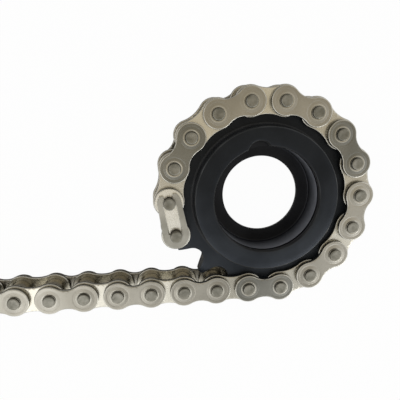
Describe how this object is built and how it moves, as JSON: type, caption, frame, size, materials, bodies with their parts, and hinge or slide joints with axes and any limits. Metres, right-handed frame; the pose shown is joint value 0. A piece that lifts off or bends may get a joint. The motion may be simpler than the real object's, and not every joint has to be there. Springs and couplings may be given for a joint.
{
  "type": "roller chain sprocket with chain",
  "caption": "Roller chain sprocket with a recessed bearing hub, and a roller chain wrapped round its teeth that runs off into a straight tail.",
  "frame": {"origin": "on the sprocket's axis, at the middle plane of its teeth and of the chain", "axes": "+Z along the sprocket's axis out of the open side of its hub; the straight tail of the chain runs towards -X, below the axis on the -Y side"},
  "size_m": [0.1691, 0.0838, 0.0184],
  "materials": {
    "black_oxide_steel": "black oxide, satin",
    "nickel_plated_steel": "nickel plated, satin",
    "roller_steel": "smooth steel"
  },
  "bodies": {
    "seated": {"sprocket": "black_oxide_steel", "inner_link_03": "nickel_plated_steel", "outer_link_04": "nickel_plated_steel", "inner_link_05": "nickel_plated_steel", "outer_link_06": "nickel_plated_steel", "inner_link_07": "nickel_plated_steel", "outer_link_08": "nickel_plated_steel", "inner_link_09": "nickel_plated_steel", "outer_link_10": "nickel_plated_steel", "inner_link_11": "nickel_plated_steel", "outer_link_12": "nickel_plated_steel"},
    "free_end": {"connecting_link": "nickel_plated_steel", "cover_plate": "nickel_plated_steel", "spring_clip": "nickel_plated_steel"},
    "link_01": {"inner_link_01": "nickel_plated_steel"},
    "link_02": {"outer_link_02": "nickel_plated_steel"},
    "link_13": {"inner_link_13": "nickel_plated_steel"},
    "link_14": {"outer_link_14": "nickel_plated_steel"},
    "link_15": {"inner_link_15": "nickel_plated_steel"},
    "link_16": {"outer_link_16": "nickel_plated_steel"},
    "link_17": {"inner_link_17": "nickel_plated_steel"},
    "link_18": {"outer_link_18": "nickel_plated_steel"},
    "link_19": {"inner_link_19": "nickel_plated_steel"},
    "link_20": {"outer_link_20": "nickel_plated_steel"},
    "link_21": {"inner_link_21": "nickel_plated_steel"},
    "link_22": {"outer_link_22": "nickel_plated_steel"},
    "link_23": {"inner_link_23": "nickel_plated_steel"},
    "roller_01": {"roller_01": "roller_steel"},
    "roller_02": {"roller_02": "roller_steel"},
    "roller_03": {"roller_03": "roller_steel"},
    "roller_04": {"roller_04": "roller_steel"},
    "roller_05": {"roller_05": "roller_steel"},
    "roller_06": {"roller_06": "roller_steel"},
    "roller_07": {"roller_07": "roller_steel"},
    "roller_08": {"roller_08": "roller_steel"},
    "roller_09": {"roller_09": "roller_steel"},
    "roller_10": {"roller_10": "roller_steel"},
    "roller_11": {"roller_11": "roller_steel"},
    "roller_12": {"roller_12": "roller_steel"},
    "roller_13": {"roller_13": "roller_steel"},
    "roller_14": {"roller_14": "roller_steel"},
    "roller_15": {"roller_15": "roller_steel"},
    "roller_16": {"roller_16": "roller_steel"},
    "roller_17": {"roller_17": "roller_steel"},
    "roller_18": {"roller_18": "roller_steel"},
    "roller_19": {"roller_19": "roller_steel"},
    "roller_20": {"roller_20": "roller_steel"},
    "roller_21": {"roller_21": "roller_steel"},
    "roller_22": {"roller_22": "roller_steel"},
    "roller_23": {"roller_23": "roller_steel"},
    "roller_24": {"roller_24": "roller_steel"}
  },
  "joints": [
    {"name": "link_hinge_03", "type": "hinge", "parent": "seated", "child": "link_02", "pos_m": [-0.02801, 0.02351, 0], "axis": [0, 0, -1], "range_deg": [0, 100]},
    {"name": "link_hinge_02", "type": "hinge", "parent": "link_02", "child": "link_01", "pos_m": [-0.03436, 0.01251, 0], "axis": [0, 0, 1], "range_deg": [-100, 0]},
    {"name": "link_hinge_01", "type": "hinge", "parent": "link_01", "child": "free_end", "pos_m": [-0.03657, 0, 0], "axis": [0, 0, -1], "range_deg": [-8, 100]},
    {"name": "link_hinge_13", "type": "hinge", "parent": "seated", "child": "link_13", "pos_m": [0.01828, -0.03167, 0], "axis": [0, 0, 1], "range_deg": [0, 100]},
    {"name": "link_hinge_14", "type": "hinge", "parent": "link_13", "child": "link_14", "pos_m": [0.00635, -0.03601, 0], "axis": [0, 0, -1], "range_deg": [-100, 0]},
    {"name": "link_hinge_15", "type": "hinge", "parent": "link_14", "child": "link_15", "pos_m": [-0.00635, -0.03601, 0], "axis": [0, 0, 1], "range_deg": [-19, 100]},
    {"name": "link_hinge_16", "type": "hinge", "parent": "link_15", "child": "link_16", "pos_m": [-0.01905, -0.03601, 0], "axis": [0, 0, -1], "range_deg": [-100, 30]},
    {"name": "link_hinge_17", "type": "hinge", "parent": "link_16", "child": "link_17", "pos_m": [-0.03175, -0.03601, 0], "axis": [0, 0, 1], "range_deg": [-56, 100]},
    {"name": "link_hinge_18", "type": "hinge", "parent": "link_17", "child": "link_18", "pos_m": [-0.04445, -0.03601, 0], "axis": [0, 0, -1], "range_deg": [-100, 82]},
    {"name": "link_hinge_19", "type": "hinge", "parent": "link_18", "child": "link_19", "pos_m": [-0.05715, -0.03601, 0], "axis": [0, 0, 1], "range_deg": [-100, 100]},
    {"name": "link_hinge_20", "type": "hinge", "parent": "link_19", "child": "link_20", "pos_m": [-0.06985, -0.03601, 0], "axis": [0, 0, -1], "range_deg": [-100, 100]},
    {"name": "link_hinge_21", "type": "hinge", "parent": "link_20", "child": "link_21", "pos_m": [-0.08255, -0.03601, 0], "axis": [0, 0, 1], "range_deg": [-100, 100]},
    {"name": "link_hinge_22", "type": "hinge", "parent": "link_21", "child": "link_22", "pos_m": [-0.09525, -0.03601, 0], "axis": [0, 0, -1], "range_deg": [-100, 100]},
    {"name": "link_hinge_23", "type": "hinge", "parent": "link_22", "child": "link_23", "pos_m": [-0.10795, -0.03601, 0], "axis": [0, 0, 1], "range_deg": [-100, 100]},
    {"name": "roller_spin_01", "type": "hinge", "parent": "link_01", "child": "roller_01", "pos_m": [-0.03657, 0, 0], "axis": [0, 0, 1], "continuous": true},
    {"name": "roller_spin_02", "type": "hinge", "parent": "link_01", "child": "roller_02", "pos_m": [-0.03436, 0.01251, 0], "axis": [0, 0, 1], "continuous": true},
    {"name": "roller_spin_03", "type": "hinge", "parent": "seated", "child": "roller_03", "pos_m": [-0.02801, 0.02351, 0], "axis": [0, 0, 1], "continuous": true},
    {"name": "roller_spin_04", "type": "hinge", "parent": "seated", "child": "roller_04", "pos_m": [-0.01828, 0.03167, 0], "axis": [0, 0, 1], "continuous": true},
    {"name": "roller_spin_05", "type": "hinge", "parent": "seated", "child": "roller_05", "pos_m": [-0.00635, 0.03601, 0], "axis": [0, 0, 1], "continuous": true},
    {"name": "roller_spin_06", "type": "hinge", "parent": "seated", "child": "roller_06", "pos_m": [0.00635, 0.03601, 0], "axis": [0, 0, 1], "continuous": true},
    {"name": "roller_spin_07", "type": "hinge", "parent": "seated", "child": "roller_07", "pos_m": [0.01828, 0.03167, 0], "axis": [0, 0, 1], "continuous": true},
    {"name": "roller_spin_08", "type": "hinge", "parent": "seated", "child": "roller_08", "pos_m": [0.02801, 0.02351, 0], "axis": [0, 0, 1], "continuous": true},
    {"name": "roller_spin_09", "type": "hinge", "parent": "seated", "child": "roller_09", "pos_m": [0.03436, 0.01251, 0], "axis": [0, 0, 1], "continuous": true},
    {"name": "roller_spin_10", "type": "hinge", "parent": "seated", "child": "roller_10", "pos_m": [0.03657, 0, 0], "axis": [0, 0, 1], "continuous": true},
    {"name": "roller_spin_11", "type": "hinge", "parent": "seated", "child": "roller_11", "pos_m": [0.03436, -0.01251, 0], "axis": [0, 0, 1], "continuous": true},
    {"name": "roller_spin_12", "type": "hinge", "parent": "seated", "child": "roller_12", "pos_m": [0.02801, -0.02351, 0], "axis": [0, 0, 1], "continuous": true},
    {"name": "roller_spin_13", "type": "hinge", "parent": "link_13", "child": "roller_13", "pos_m": [0.01828, -0.03167, 0], "axis": [0, 0, 1], "continuous": true},
    {"name": "roller_spin_14", "type": "hinge", "parent": "link_13", "child": "roller_14", "pos_m": [0.00635, -0.03601, 0], "axis": [0, 0, 1], "continuous": true},
    {"name": "roller_spin_15", "type": "hinge", "parent": "link_15", "child": "roller_15", "pos_m": [-0.00635, -0.03601, 0], "axis": [0, 0, 1], "continuous": true},
    {"name": "roller_spin_16", "type": "hinge", "parent": "link_15", "child": "roller_16", "pos_m": [-0.01905, -0.03601, 0], "axis": [0, 0, 1], "continuous": true},
    {"name": "roller_spin_17", "type": "hinge", "parent": "link_17", "child": "roller_17", "pos_m": [-0.03175, -0.03601, 0], "axis": [0, 0, 1], "continuous": true},
    {"name": "roller_spin_18", "type": "hinge", "parent": "link_17", "child": "roller_18", "pos_m": [-0.04445, -0.03601, 0], "axis": [0, 0, 1], "continuous": true},
    {"name": "roller_spin_19", "type": "hinge", "parent": "link_19", "child": "roller_19", "pos_m": [-0.05715, -0.03601, 0], "axis": [0, 0, 1], "continuous": true},
    {"name": "roller_spin_20", "type": "hinge", "parent": "link_19", "child": "roller_20", "pos_m": [-0.06985, -0.03601, 0], "axis": [0, 0, 1], "continuous": true},
    {"name": "roller_spin_21", "type": "hinge", "parent": "link_21", "child": "roller_21", "pos_m": [-0.08255, -0.03601, 0], "axis": [0, 0, 1], "continuous": true},
    {"name": "roller_spin_22", "type": "hinge", "parent": "link_21", "child": "roller_22", "pos_m": [-0.09525, -0.03601, 0], "axis": [0, 0, 1], "continuous": true},
    {"name": "roller_spin_23", "type": "hinge", "parent": "link_23", "child": "roller_23", "pos_m": [-0.10795, -0.03601, 0], "axis": [0, 0, 1], "continuous": true},
    {"name": "roller_spin_24", "type": "hinge", "parent": "link_23", "child": "roller_24", "pos_m": [-0.12065, -0.03601, 0], "axis": [0, 0, 1], "continuous": true}
  ]
}
